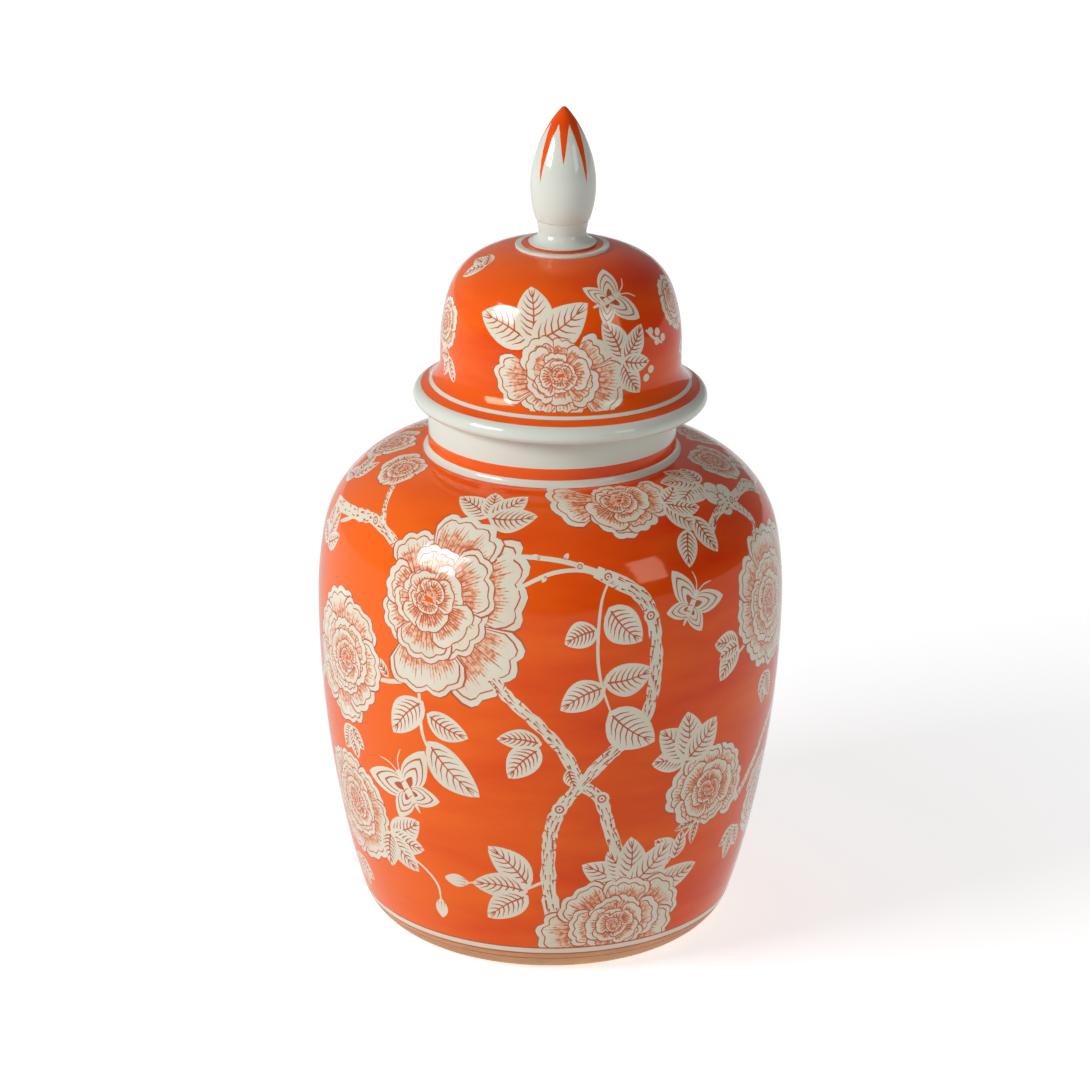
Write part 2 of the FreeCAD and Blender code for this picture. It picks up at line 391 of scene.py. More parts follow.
def petal(spot, reach, spread, lobes, rng, contour, shade):
    """A fan-shaped petal along the spot's y axis: a scalloped edge, a wavy line inside it and hatching."""
    half = spread / 2
    share = np.linspace(-1, 1, 4 * lobes + 1)
    angles = half * share
    crest = 0.5 + 0.5 * np.cos(np.linspace(-math.pi, (2 * lobes - 1) * math.pi, len(angles)))
    sizes = np.repeat([rng.uniform(0.0, 0.05) for _ in range(lobes)], 4)
    edge = reach * (0.92 + 0.055 * crest**0.6 + np.append(sizes, sizes[-1]) - 0.15 * share**4)

    def fan(depth, inset, low=0.25):
        inside = angles * (1 - inset)
        rim = np.stack([np.sin(inside), np.cos(inside)], 1) * (edge * depth)[:, None]
        foot = [(math.sin(a) * reach * low, math.cos(a) * reach * low) for a in (half * 0.6, -half * 0.6)]
        return np.concatenate([rim, foot])

    spot.paint(fan(1 + 0.22 / reach, -0.03), LINE)
    spot.paint(fan(1 - 0.26 / reach, 0.02), CREAM)
    if contour:
        depth = 1 - rng.uniform(2.0, 3.2) / reach
        spot.paint(fan(depth, 0.07), LINE)
        spot.paint(fan(depth - 0.55 / reach, 0.10), CREAM)

    width = spread * reach * shade
    teeth = max(3, round(width / 1.7))
    rim, marks = [], []
    for k in range(teeth):
        middle = half * 0.84 * (2 * (k + 0.5) / teeth - 1)
        crown = np.interp(middle, angles, edge)
        high = crown * (shade + rng.uniform(-0.03, 0.09))
        low = crown * (shade - rng.uniform(0.05, 0.14))
        gap = half * 0.84 / teeth
        rim += [(middle - gap, low), (middle, high)]
        marks.append((middle, crown * shade * rng.uniform(0.42, 0.62), high * rng.uniform(0.92, 1.02)))
    rim += [(half * 0.84, rim[0][1]), (half * 0.5, reach * 0.26), (-half * 0.5, reach * 0.26)]
    spot.paint([(math.sin(a) * r, math.cos(a) * r) for a, r in rim], HATCH)
    for angle, low, high in marks[:: 2 if contour else 1]:
        way = np.array([math.sin(angle), math.cos(angle)])
        dash(spot, way * low, way * high, 0.75)


PEONY_RINGS = (
    # share of the flower, petals, lobes of a petal, line inside its edge, share that is hatched
    (1.00, 7, 4, True, 0.80),
    (0.64, 6, 4, True, 0.80),
    (0.43, 5, 3, False, 0.84),
    (0.28, 5, 3, False, 0.86),
    (0.16, 3, 2, False, 0.88),
)


def peony(spot, across, tall, seed, core=(0.0, 0.0), rings=PEONY_RINGS):
    """A full peony seen from the front: overlapping rings of frilled petals round an off-centre heart."""
    rng = random.Random(seed)
    a, b = across / 2, tall / 2
    heart = (core[0] * a, core[1] * b)

    def reach(angle):
        """From the heart to the flower's edge, an oval round the spot."""
        x, y = math.sin(angle), math.cos(angle)
        p = (x / a) ** 2 + (y / b) ** 2
        q = heart[0] * x / a**2 + heart[1] * y / b**2
        r = (heart[0] / a) ** 2 + (heart[1] / b) ** 2 - 1
        return (-q + math.sqrt(q * q - p * r)) / p

    for share, count, lobes, contour, shade in rings:
        offset = rng.random()
        order = list(range(count))
        rng.shuffle(order)
        for k in order:
            angle = 2 * math.pi * (k + offset) / count + rng.uniform(-0.10, 0.10)
            size = reach(angle) * share / rings[0][0] * rng.uniform(0.94, 1.04)
            spread = 2 * math.pi / count * rng.uniform(1.15, 1.40)
            x = heart[0] + a * rng.uniform(-0.05, 0.05)
            y = heart[1] + b * rng.uniform(-0.05, 0.05)
            petal(spot.at(x, y, -math.degrees(angle)), size, spread, lobes, rng, contour, shade)


def branch(spot, places, width, seed, taper=0.0):
    """A gnarled branch through places given as angle and height, with bark marks."""
    rng = random.Random(seed)
    path = smooth_path([spot.flat(*p) for p in places], 6)
    share = np.linspace(0, 1, len(path))
    wobble = np.array([rng.uniform(0.82, 1.15) for _ in path])
    widths = width * (1 - taper * share) * wobble
    spot.paint(sides(path, widths), CREAM)
    ahead = np.gradient(path, axis=0)
    ahead /= np.linalg.norm(ahead, axis=1)[:, None]
    for k in range(1, len(path) - 1):
        out = np.array([-ahead[k, 1], ahead[k, 0]])
        w = widths[k] / 2
        for _ in range(2):
            start = path[k] + out * w * rng.choice((-1, 1)) * rng.uniform(0.15, 0.8)
            sway = out * rng.uniform(-0.5, 0.5)
            dash(spot, start, start + ahead[k] * w * rng.uniform(0.8, 1.8) + sway, rng.uniform(0.5, 0.85))
        if rng.random() < 0.4:
            side = rng.choice((-1, 1))
            start = path[k] + out * w * side
            dash(spot, start, start - out * w * side * rng.uniform(0.5, 1.0) + ahead[k] * w * 0.5, 0.7)


def knots(spot, places, sizes):
    """Burls on a branch: round lumps with a ring in each."""
    for place, size in zip(places, sizes):
        x, y = spot.flat(*place)
        dot(spot, x, y, size, CREAM, 10)
        ring(spot, x, y, size * 0.62, size * 0.40, 9)
        dot(spot, x, y, size * 0.18, LINE, 4)


def twig(spot, places, width):
    """A thin cream stem through places given as angle and height."""
    stroke(spot, [spot.flat(*p) for p in places], width, CREAM, 0.45)


def bud(spot, size):
    """A closed bud that grows along its spot's y axis."""
    u = np.linspace(0, 1, 9)
    half = size * 0.62 * np.sin(math.pi * np.minimum(u * 0.94 + 0.03, 1)) ** 0.8
    right = np.stack([half, 2.1 * size * u], 1)
    left = np.stack([-half, 2.1 * size * u], 1)
    spot.paint(np.concatenate([right, left[::-1]]), CREAM)
    for x in (-0.28, 0.0, 0.28):
        dash(spot, (x * size, size * 0.25), (x * size * 1.2, size * (1.25 - abs(x))), 0.34)


def blossom(spot, size, petals=5):
    """A small open flower with a ringed heart."""
    for k in range(petals):
        here = spot.at(0, 0, 360 * k / petals)
        dot(here, 0, size * 0.60, size * 0.46, LINE, 9)
        dot(here, 0, size * 0.60, size * 0.41, CREAM, 9)
        dash(here, (0, size * 0.22), (0, size * 0.72), 0.35)
    ring(spot, 0, 0, size * 0.26, size * 0.20, 8)


def wing(spot, length, width):
    """A butterfly's wing along the y axis, with nested contour lines."""
    u = np.linspace(0, 1, 10)
    half = width / 2 * np.sin(math.pi * u**0.7) ** 0.7
    for number, share in enumerate((1.0, 0.80, 0.74, 0.54, 0.48, 0.28)):
        right = np.stack([half * share, length * (0.04 + u * share)], 1)
        left = np.stack([-half * share, length * (0.04 + u * share)], 1)
        spot.paint(np.concatenate([right[1:], left[-2:0:-1]]), LINE if number % 2 else CREAM)


def butterfly(spot, size):
    """A butterfly seen from above, its head along the y axis."""
    for side in (-1, 1):
        wing(spot.at(0, 0, -side * 58), size * 0.62, size * 0.36)
        wing(spot.at(0, -size * 0.06, -side * 122), size * 0.42, size * 0.28)
        tip = (side * size * 0.2, size * 0.46)
        feeler = [(side * 0.2, size * 0.2), (side * size * 0.08, size * 0.36), tip]
        stroke(spot, feeler, 0.55, CREAM)
    body = np.array([(0, -size * 0.34), (0, -size * 0.1), (0, size * 0.1), (0, size * 0.24)])
    spot.paint(sides(body, [0.6, size * 0.11, size * 0.09, size * 0.07]), CREAM)
    for y in (-0.22, -0.12, -0.02, 0.08):
        dash(spot, (-size * 0.045, size * y), (size * 0.045, size * (y + 0.02)), 0.5)


# ---- shells


def turned_vertices(outline, angles, along, place):
    """Points on the turned surface, in metres. The place is where its axis and its height 0 lie."""
    radius, height = outline.point(along)
    x = place[0] + radius * np.sin(angles)
    return np.stack([x, -radius * np.cos(angles), place[1] + height], 1) * MM


def plain_rows(outline, rows, columns, place, plain_paint):
    """Quads between rows of vertices where nothing is painted."""
    angles = np.linspace(-math.pi, math.pi, columns + 1)
    points = [turned_vertices(outline, angles, np.full(columns + 1, t), place) for t in rows]
    faces, paints, edges = [], [], []
    for k in range(len(rows) - 1):
        centre = (rows[k] + rows[k + 1]) / 2
        edge = int(outline.edge_at(centre))
        for c in range(columns):
            a = k * (columns + 1) + c
            faces.append((a, a + 1, a + columns + 2, a + columns + 1))
        paints += [plain_paint(outline.marks, edge)] * columns
        edges += [edge] * columns
    return np.concatenate(points), faces, paints, edges


def triangulate(points, edges, polygons):
    """Triangles over flat points, with the corners of each and the last polygon that covers it."""
    flat, _, faces, _, _, owners = delaunay_2d_cdt(points, edges, polygons, 0, 1e-4, True)
    flat = np.array([tuple(p) for p in flat])
    return flat, np.array(faces), np.array([max(owner) if owner else -1 for owner in owners])


def borders(faces, paints):
    """The edges between faces of different paints."""
    ends = np.sort(np.concatenate([faces[:, [0, 1]], faces[:, [1, 2]], faces[:, [2, 0]]]), axis=1)
    face = np.tile(np.arange(len(faces)), 3)
    order = np.lexsort((ends[:, 1], ends[:, 0]))
    ends, face = ends[order], face[order]
    pair = np.nonzero((ends[1:] == ends[:-1]).all(axis=1))[0]
    return ends[pair[paints[face[pair]] != paints[face[pair + 1]]]]


def straighten(flat, lines, slack=0.004, longest=2.4):
    """Border lines without the points that lie on a straight run between their neighbours."""
    near = {}
    for a, b in lines.tolist():
        near.setdefault(a, set()).add(b)
        near.setdefault(b, set()).add(a)
    for p in list(near):
        if len(near[p]) != 2:
            continue
        a, b = near[p]
        run, off = flat[b] - flat[a], flat[p] - flat[a]
        length = math.hypot(*run)
        if b in near[a] or length > longest or abs(run[0] * off[1] - run[1] * off[0]) > slack * length:
            continue
        del near[p]
        for end, other in ((a, b), (b, a)):
            near[end].discard(p)
            near[end].add(other)
    return np.array([(a, b) for a, ends in near.items() for b in ends if a < b])


def painted_rows(canvas, rows, place):
    """Triangles of the painted zone.

    The shapes are laid over each other in a first triangulation. Only the borders that show go into
    the second one, and each of its triangles takes its paint from the first one.
    """
    half = canvas.width / 2
    across = np.linspace(-half, half, canvas.columns + 1)
    grid = [Vector((x, t)) for t in rows for x in across]
    joints = [t for t in canvas.outline.starts if canvas.low < t < canvas.high]
    grid += [Vector((x, t)) for t in joints for x in (-half, half)]
    base = len(grid) - 2 * len(joints)
    edges = [(base + 2 * k, base + 2 * k + 1) for k in range(len(joints))]

    points, polygons, paints = list(grid), [], []
    for corners, paint, moves in canvas.shapes:
        low, high = min(c[0] for c in corners), max(c[0] for c in corners)
        shifts = [0.0]
        if moves and high > half:
            shifts.append(-canvas.width)
        if moves and low < -half:
            shifts.append(canvas.width)
        for shift in shifts:
            polygons.append(list(range(len(points), len(points) + len(corners))))
            points += [Vector((x + shift, y)) for x, y in corners]
            paints.append(paint)
    flat, faces, owners = triangulate(points, edges, polygons)
    centres = flat[faces].mean(axis=1)
    outside = (owners < 0) | (abs(centres[:, 0]) > half)
    outside |= (centres[:, 1] < canvas.low) | (centres[:, 1] > canvas.high)
    colours = np.where(outside, -1, np.array(paints)[owners])
    drawn = BVHTree.FromPolygons([(x, y, 0.0) for x, y in flat], faces.tolist(), all_triangles=True)

    lines = straighten(flat, borders(faces, colours))
    used, lines = np.unique(lines, return_inverse=True)
    lines = lines.reshape(-1, 2) + len(grid)
    points = grid + [Vector(p) for p in flat[used]]
    flat, faces, _ = triangulate(points, edges + lines.tolist(), [])
    centres = flat[faces].mean(axis=1)
    found = [drawn.find_nearest((x, y, 0.0))[2] for x, y in centres]
    shown = colours[found]
    kept = shown >= 0
    along = np.clip(flat[:, 1], 0, canvas.outline.starts[-1])
    solid = turned_vertices(canvas.outline, flat[:, 0] / canvas.reference, along, place)
    edges = canvas.outline.edge_at(centres[kept, 1])
    return solid, faces[kept].tolist(), shown[kept].tolist(), edges.tolist()


def build_shell(name, canvas, plain_paint, place, spacing):
    """One closed mesh of a turned piece, with exact normals and a material for each painted face."""
    outline = canvas.outline
    rows = outline.rows(spacing, ROW_TURN)
    before = [t for t in rows if t <= canvas.low + SAME_PLACE]
    within = [t for t in rows if canvas.low - SAME_PLACE <= t <= canvas.high + SAME_PLACE]
    after = [t for t in rows if t >= canvas.high - SAME_PLACE]
    zones = [painted_rows(canvas, within, place)]
    for part in (before, after):
        if len(part) > 1:
            zones.append(plain_rows(outline, part, canvas.columns, place, plain_paint))
    points, faces, paints, edges = [], [], [], []
    for zone_points, zone_faces, zone_paints, zone_edges in zones:
        base = len(points)
        points.extend(map(tuple, zone_points))
        faces.extend(tuple(base + i for i in face) for face in zone_faces)
        paints += zone_paints
        edges += zone_edges
    mesh = bpy.data.meshes.new(name)
    mesh.from_pydata(points, [], faces)
    for paint in ceramic_paints():
        mesh.materials.append(paint)
    mesh.polygons.foreach_set("material_index", paints)
    mesh.attributes.new("outline_edge", "INT", "FACE").data.foreach_set("value", edges)
    work = bmesh.new()
    work.from_mesh(mesh)
    bmesh.ops.remove_doubles(work, verts=work.verts, dist=0.002 * MM)
    bmesh.ops.dissolve_degenerate(work, edges=work.edges, dist=0.0001 * MM)
    loose = [v for v in work.verts if not v.link_faces]
    bmesh.ops.delete(work, geom=loose, context="VERTS")
    work.to_mesh(mesh)
    work.free()
    set_normals(mesh, outline, place)
    mesh.attributes.remove(mesh.attributes["outline_edge"])
    piece = bpy.data.objects.new(name, mesh)
    bpy.context.scene.collection.objects.link(piece)
    return piece


def set_normals(mesh, outline, place):
    """Gives every face corner the true normal of the turned surface."""
    points = np.zeros(len(mesh.vertices) * 3)
    mesh.vertices.foreach_get("co", points)
    points = points.reshape(-1, 3) / MM
    corners = np.zeros(len(mesh.loops), int)
    mesh.loops.foreach_get("vertex_index", corners)
    sizes = np.zeros(len(mesh.polygons), int)
    mesh.polygons.foreach_get("loop_total", sizes)
    edge_of_face = np.zeros(len(mesh.polygons), int)
    mesh.attributes["outline_edge"].data.foreach_get("value", edge_of_face)
    edge_of_corner = np.repeat(edge_of_face, sizes)
    at = points[corners]
    x, y, height = at[:, 0] - place[0], at[:, 1], at[:, 2] - place[1]
    radius = np.maximum(np.hypot(x, y), 1e-6)
    normals = np.zeros((len(corners), 3))
    for number, edge in enumerate(outline.edges):
        here = edge_of_corner == number
        if here.any():
            out, up = edge.normal(radius[here], height[here])
            normals[here] = np.stack([out * x[here] / radius[here], out * y[here] / radius[here], up], 1)
    mesh.polygons.foreach_set("use_smooth", [True] * len(mesh.polygons))
    mesh.normals_split_custom_set(normals.tolist())


# ---- materials


def add_node(tree, kind, values=()):
    """A new shader node with some of its inputs set."""
    node = tree.nodes.new("ShaderNode" + kind)
    for name, value in dict(values).items():
        node.inputs[name].default_value = value
    return node


def material(name, colour, roughness, second, cloud_scale, stretch=(1.0, 1.0, 1.0), share=0.5,
             bump=0.04, bump_scale=220.0, reflection=(1.0, 1.0, 1.0), side_light=0.0):
    """A ceramic surface: a colour that varies slowly, slight roughness changes and a faint relief.

    The two colours mix in clouds, within a share of the clouds' range. With lean, the second colour
    takes over toward the -X side as painted side light, lighter where the key lamp lights the piece.
    """
    made = bpy.data.materials.new(name)
    made.use_nodes = True
    tree = made.node_tree
    link = tree.links.new
    shader = tree.nodes["Principled BSDF"]
    shader.inputs["IOR"].default_value = 1.5
    shader.inputs["Specular IOR Level"].default_value = 0.4
    shader.inputs["Specular Tint"].default_value = (*reflection, 1.0)
    place = add_node(tree, "TexCoord")

    mapping = add_node(tree, "Mapping", {"Scale": stretch})
    link(place.outputs["Object"], mapping.inputs["Vector"])
    cloud = add_node(tree, "TexNoise", {"Scale": cloud_scale, "Detail": 5.0})
    link(mapping.outputs["Vector"], cloud.inputs["Vector"])
    split = add_node(tree, "SeparateXYZ")
    link(place.outputs["Object"], split.inputs["Vector"])
    # Painted side light: toward the -X side the ramp moves to the lighter second colour.
    thin = add_node(tree, "MapRange", {"From Min": SIDE_LIGHT_START, "From Max": SIDE_LIGHT_FULL, "To Max": side_light})
    link(split.outputs["X"], thin.inputs["Value"])
    total = add_node(tree, "Math")
    link(cloud.outputs["Fac"], total.inputs[0])
    link(thin.outputs["Result"], total.inputs[1])
    ramp = add_node(tree, "ValToRGB")
    for stop, offset, shade in zip(ramp.color_ramp.elements, (-share / 2, share / 2), (colour, second)):
        stop.position = 0.5 + offset
        stop.color = (*shade, 1.0)
    link(total.outputs["Value"], ramp.inputs["Fac"])
    link(ramp.outputs["Color"], shader.inputs["Base Color"])

    grain = add_node(tree, "TexNoise", {"Scale": bump_scale, "Detail": 3.0})
    link(place.outputs["Object"], grain.inputs["Vector"])
    rough = add_node(tree, "MapRange", {"To Min": roughness * 0.8, "To Max": roughness * 1.25})
    link(grain.outputs["Fac"], rough.inputs["Value"])
    link(rough.outputs["Result"], shader.inputs["Roughness"])
    relief = add_node(tree, "Bump", {"Strength": bump, "Distance": MM})
    link(grain.outputs["Fac"], relief.inputs["Height"])
    link(relief.outputs["Normal"], shader.inputs["Normal"])
    return made


def srgb(red, green, blue):
    """A colour given as 0 to 255 screen values, as the linear values that shaders use."""
    shares = [v / 255 for v in (red, green, blue)]
    return tuple(v / 12.92 if v <= 0.04045 else ((v + 0.055) / 1.055) ** 2.4 for v in shares)


def ceramic_paints():
    """The paints of the painted pieces, in slot order."""
    return [
        # The orange glaze's colour carries painted side light: lighter toward the -X side.
        material("orange_glaze", srgb(228, 47, 2), 0.08, srgb(249, 103, 20), 13.0, (1.0, 1.0, 4.0),
                 reflection=(1.0, 0.82, 0.62), side_light=0.35),
        material("cream_reserve", srgb(238, 232, 214), 0.10, srgb(228, 218, 194), 60.0),
        material("iron_red_line", srgb(206, 96, 58), 0.12, srgb(190, 78, 44), 120.0),
        material("white_glaze", srgb(226, 230, 220), 0.08, srgb(218, 222, 210), 14.0),
        material("bare_biscuit", srgb(220, 172, 128), 0.75, srgb(204, 154, 112), 90.0,
                 bump=0.5, bump_scale=900.0),
        material("stippled_shade", srgb(218, 122, 78), 0.11, srgb(243, 205, 172), 620.0, share=0.22),
    ]


# ---- the jar


def jar_outline():
    """The jar: from the recess under it, over foot ring, belly, neck and rim, to the floor inside."""
    belly, neck, mouth = 95, 50.2, 45
    wall, widest = 5, 138
    foot_inside, foot_outside, floor = 58, 67, 12
    inside = Outline(0, floor).line(61.5, floor).bend(74.1, 21.6).bend(belly - wall, widest)
    inside.bend(87.3, 166.8).bend(72.5, 188.85).bend(48.5, 195.2)
    inside.arc(mouth, 198.7, 3.5, left=False).line(mouth, RIM - 1)
    jar = Outline(0, 5).line(56, 5).corner(foot_inside, 0, 0.9, (foot_outside, 0)).mark("foot")
    jar.corner(foot_outside, 0, 0.7, (75.8, 4.8)).mark("outside")
    jar.arc(77.2, 12.5, 21.4).bend(83.6, 36.6).bend(belly, widest).bend(92.3, 166.8)
    jar.bend(75, 193.1).bend(53.2, 200.2).arc(neck, 203.2, 3, left=False)
    jar.line(neck, RIM - 1).mark("rim").bend(neck - 1, RIM)
    jar.corner(mouth, RIM, 1.0, (mouth, RIM - 10)).mark("inside")
    return jar.back(inside).finish()


def jar_plain(marks, edge):
    """The paint of the jar where nothing is painted: bare under the foot ring and on the rim."""
    glazed = edge < marks["foot"] - 2 or edge >= marks["inside"]
    return WHITE if glazed else BISCUIT


def jar_upper(side, seed):
    """The big peony of the shoulder, the branches and flowers beside it, and the leaves over it."""
    spot, at = side.spot, side.places
    origin = spot(0, 150)
    branch(origin, at((-82, 180), (-65, 183), (-55.5, 184.5), (-44, 180), (-38, 173)), 4.6, seed + 1)
    branch(origin, at((-52, 184.5), (-57, 191), (-62.5, 196.5)), 3.6, seed + 2, 0.4)
    twig(origin, at((-71.5, 177), (-66, 181)), 1.6)
    branch(origin, at((47, 183), (53.5, 188.5), (64, 190), (79, 190), (86, 185)), 4.2, seed + 3)
    branch(origin, at((64, 190), (68, 181), (64, 176)), 3.4, seed + 4, 0.3)
    knots(origin, at((-55.5, 184.5), (65, 190)), (2.6, 2.4))

    blossom(spot(-118, 192), 9)
    peony(spot(-97, 197.5), 30, 23, seed + 30, core=(0.0, 0.1), rings=PEONY_RINGS[2:])
    peony(spot(-69, 198), 27, 21, seed + 31, core=(0.1, 0.1), rings=PEONY_RINGS[2:])
    spray(spot(-84, 189), ((40, 1.0), (-15, 0.9), (105, 0.9)), 14, 9)

    peony(spot(22, 197), 50, 30, seed + 10, core=(0.10, 0.20), rings=PEONY_RINGS[1:])
    spray(spot(38.5, 196), ((-150, 1.1), (-115, 1.0), (-60, 0.8)), 17, 10)
    leaf(spot(41, 187.5, 158), 16, 9.5)
    leaf(spot(45.5, 190.5, -168), 17, 10)
    spray(spot(60, 197), ((105, 1.1), (60, 1.0), (15, 0.9), (-20, 0.7)), 17, 12)
    bud(spot(56, 194, 60), 2.8)

    peony(spot(-23.5, 160.5), 65, 77, seed + 20, core=(-0.38, 0.10))
    spray(spot(-19.5, 194), ((62, 1.0), (8, 0.85), (-38, 1.05), (-82, 1.1)), 17.5, 11.5)


def jar_branches(side, seed):
    """The long branch that arcs down the front, the one that crosses it, and what hangs from them."""
    spot, at = side.spot, side.places
    origin = spot(0, 110)
    twig(origin, at((15, 176.5), (11, 179), (2.5, 182.5), (-7.5, 183.5), (-14, 182)), 2.0)
    twig(origin, at((15, 175), (8.5, 179), (1, 178.5), (-6, 174), (-10, 170)), 1.7)
    bud(spot(-2.5, 183, 70), 1.9)
    bud(spot(3.5, 182.6, -30), 1.6)
    bud(spot(-1, 177.5, 150), 1.5)
    knots(origin, at((7.5, 180.5)), (1.8,))

    branch(origin, at((-14, 137), (-10, 129), (-2, 116.5), (4, 104.5), (8, 91)), 4.8, seed + 1)
    branch(origin, at((8, 91), (13, 84), (16, 69.5), (18.5, 58), (20, 46)), 5.0, seed + 2, -0.1)
    branch(origin, at((11.5, 178.5), (21, 170.5), (24.8, 162), (26, 150), (26, 137.5), (25, 125),
                      (22.5, 113.5), (17.5, 107), (13.5, 101), (8, 91)), 5.2, seed + 3)
    branch(origin, at((8, 91), (3, 80), (1, 70), (0.5, 61.5), (0.5, 47), (1.5, 33), (3, 22)),
           5.6, seed + 4, -0.15)
    knots(origin, at((24.8, 160), (13.5, 84), (3, 80), (14.5, 176.5)), (3.0, 3.2, 3.2, 2.6))

    twig(origin, at((15, 176), (12.6, 168), (11.6, 156), (11.5, 144), (12.6, 133), (15, 121)), 1.3)
    leaf(spot(11.4, 156.5, 112), 14, 11)
    leaf(spot(14.2, 165, -138), 20, 15)
    leaf(spot(13.4, 133, 118), 20, 13)
    leaf(spot(12.8, 134.5, -80), 21, 14)
    leaf(spot(14.4, 122, -128), 25, 18)

    leaf(spot(-1.5, 109, 86), 18, 9)
    leaf(spot(-2, 107, 138), 18.5, 13)
    leaf(spot(5, 98, -160), 9, 6)
    leaf(spot(-4.5, 43, 42), 25, 13.5)
    leaf(spot(-5, 41, 86), 23, 12.5)
    leaf(spot(-5, 39, 128), 21, 13.5)
    twig(origin, at((0.5, 47), (-2, 45), (-6, 41.5)), 1.4)

    leaf(spot(29, 40, -80), 24, 12)
    spray(spot(22, 40), ((54, 1.0), (26, 0.9), (0, 1.05), (-42, 1.15)), 24, 13)
    peony(spot(20, 23), 65, 44, seed + 10)


def jar_left(side, seed):
    """The flowers, leaves, buds and butterfly to the left of the branches."""
    spot, at = side.spot, side.places
    origin = spot(-40, 110)
    twig(origin, at((-31, 132), (-40, 126), (-48, 124)), 2.0)
    twig(origin, at((-33, 134), (-32.5, 121), (-32, 107), (-29.5, 98)), 1.5)
    leaf(spot(-31.5, 121, 138), 23.5, 14)
    leaf(spot(-30.5, 116, -112), 19.5, 11.5)
    leaf(spot(-30.5, 104, -134), 30, 16)
    leaf(spot(-42, 127, 52), 11, 5)
    peony(spot(-61, 127), 55, 57, seed + 1, core=(0.12, 0.0))
    spray(spot(-76, 166), ((30, 1.0), (-10, 0.9), (70, 0.8), (-60, 0.8)), 17, 10)
    spray(spot(-58, 97), ((150, 1.0), (190, 1.0), (225, 0.8)), 14, 9)
    branch(origin, at((-84, 98), (-77, 110), (-70, 120)), 4.0, seed + 2)
    spray(spot(-84, 99), ((170, 1.0), (-150, 0.9), (125, 1.0)), 15, 9)

    butterfly(spot(-38, 80, 30), 34)

    peony(spot(-62, 60), 48, 54, seed + 3, core=(0.05, 0.05))
    spray(spot(-46, 56), ((-60, 1.1), (-100, 1.0), (-140, 1.1), (170, 1.0)), 18, 11)
    twig(origin, at((-44, 50), (-36, 45), (-31.5, 38), (-31, 30)), 1.1)
    bud(spot(-31, 31, 176), 4.6)
    bud(spot(-21.5, 42, 88), 5.0)
    twig(origin, at((-22, 42), (-14, 44), (-7, 42)), 1.1)
    spray(spot(-68, 32), ((150, 1.0), (-170, 1.0), (-130, 0.9)), 14, 9)


def jar_right(side, seed):
    """The butterfly, flowers and leaves to the right of the branches."""
    spot, at = side.spot, side.places
    origin = spot(60, 110)
    butterfly(spot(36.5, 161, -32), 26)
    twig(origin, at((52, 134), (58, 140)), 1.6)
    spray(spot(52, 138), ((75, 1.0), (140, 1.1), (105, 0.8)), 15, 10)
    peony(spot(70, 149), 58, 62, seed + 1, core=(-0.1, 0.0))
    spray(spot(68, 118), ((170, 1.0), (205, 1.0), (140, 0.8)), 14, 9)

    peony(spot(45, 80), 46, 38, seed + 2, core=(0.0, -0.1), rings=PEONY_RINGS[1:])
    spray(spot(36, 95), ((84, 0.9), (40, 1.15), (2, 1.2), (-44, 1.2)), 18, 12)
    twig(origin, at((41, 64), (37, 56), (34, 48)), 1.3)
    leaf(spot(42, 65, 100), 11, 4)
    leaf(spot(42.5, 65, 172), 11, 4.5)
    leaf(spot(36, 52, 50), 14, 8)
    leaf(spot(36, 50, -10), 13, 7)

    branch(origin, at((58, 66), (66, 78), (74, 92), (86, 100)), 3.8, seed + 3)
    spray(spot(86, 99), ((-15, 1.0), (35, 0.9), (-75, 1.0)), 15, 9)
    peony(spot(76, 60), 36, 40, seed + 4, rings=PEONY_RINGS[1:])
    spray(spot(62, 52), ((120, 0.9), (165, 1.1), (205, 0.9)), 14, 8)
    spray(spot(84, 36), ((100, 1.0), (150, 1.0), (200, 0.9)), 14, 8)
    butterfly(spot(86, 122, 20), 22)


def paint_jar(canvas):
    """The orange ground, the same composition behind and in front, and the stripes at foot and neck."""
    canvas.band(None, None, WHITE)
    canvas.band(11.6, 200.4, GROUND)
    for middle, seed in ((180, 500), (0, 100)):
        side = Side(canvas, middle)
        jar_left(side, seed)
        jar_right(side, seed + 100)
        jar_upper(side, seed + 200)
        jar_branches(side, seed + 300)
    foot = ((6.6, BISCUIT), (7.2, LINE), (9.4, BISCUIT), (10.2, LINE), (12.5, CREAM), (13.2, LINE))
    canvas.stripes(None, *foot)
    canvas.stripes(200.4, (202.9, WHITE), (207.6, GROUND), (None, WHITE))


# ---- the lid


def lid_outline():
    """The lid: from under its crown, down the inside, round the collar and brim, and up to the pad."""
    bore, collar, collar_end = 37.5, 41.5, -13
    brim, waist, crown_inside = 59.3, 48.5, 59.9
    pad, pad_height = 18.8, PAD - RIM
    inside = Outline(bore, collar_end + 1).line(bore, 3.3).line(44, 18).line(44, 25).bend(40.5, 46.5)
    inside.bend(31.0, 56.2).bend(10, crown_inside).line(0, crown_inside)
    lid = Outline(0, crown_inside).back(inside)
    lid.corner(bore, collar_end, 1.0, (collar, collar_end))
    lid.corner(collar, collar_end, 1.0, (collar, 0)).line(collar, 0)
    lid.line(56, 0).mark("outside").bend(brim, 3.3).bend(56.6, 7.0)
    lid.arc(waist, 18, 11.5, left=False).line(waist, 25).bend(45, 46.5).bend(33.5, 60).bend(pad, 64.4)
    lid.mark("pad").corner(pad, pad_height, 0.5, (0, pad_height)).line(16.4, pad_height)
    lid.mark("ring").line(12.0, pad_height).mark("under_knob").line(0, pad_height)
    return lid.finish()


def lid_plain(marks, edge):
    """The paint of the lid where nothing is painted: bare at the collar and the seat, an orange ring."""
    if marks["ring"] <= edge < marks["under_knob"]:
        return GROUND
    return BISCUIT if marks["outside"] - 7 <= edge < marks["outside"] else WHITE


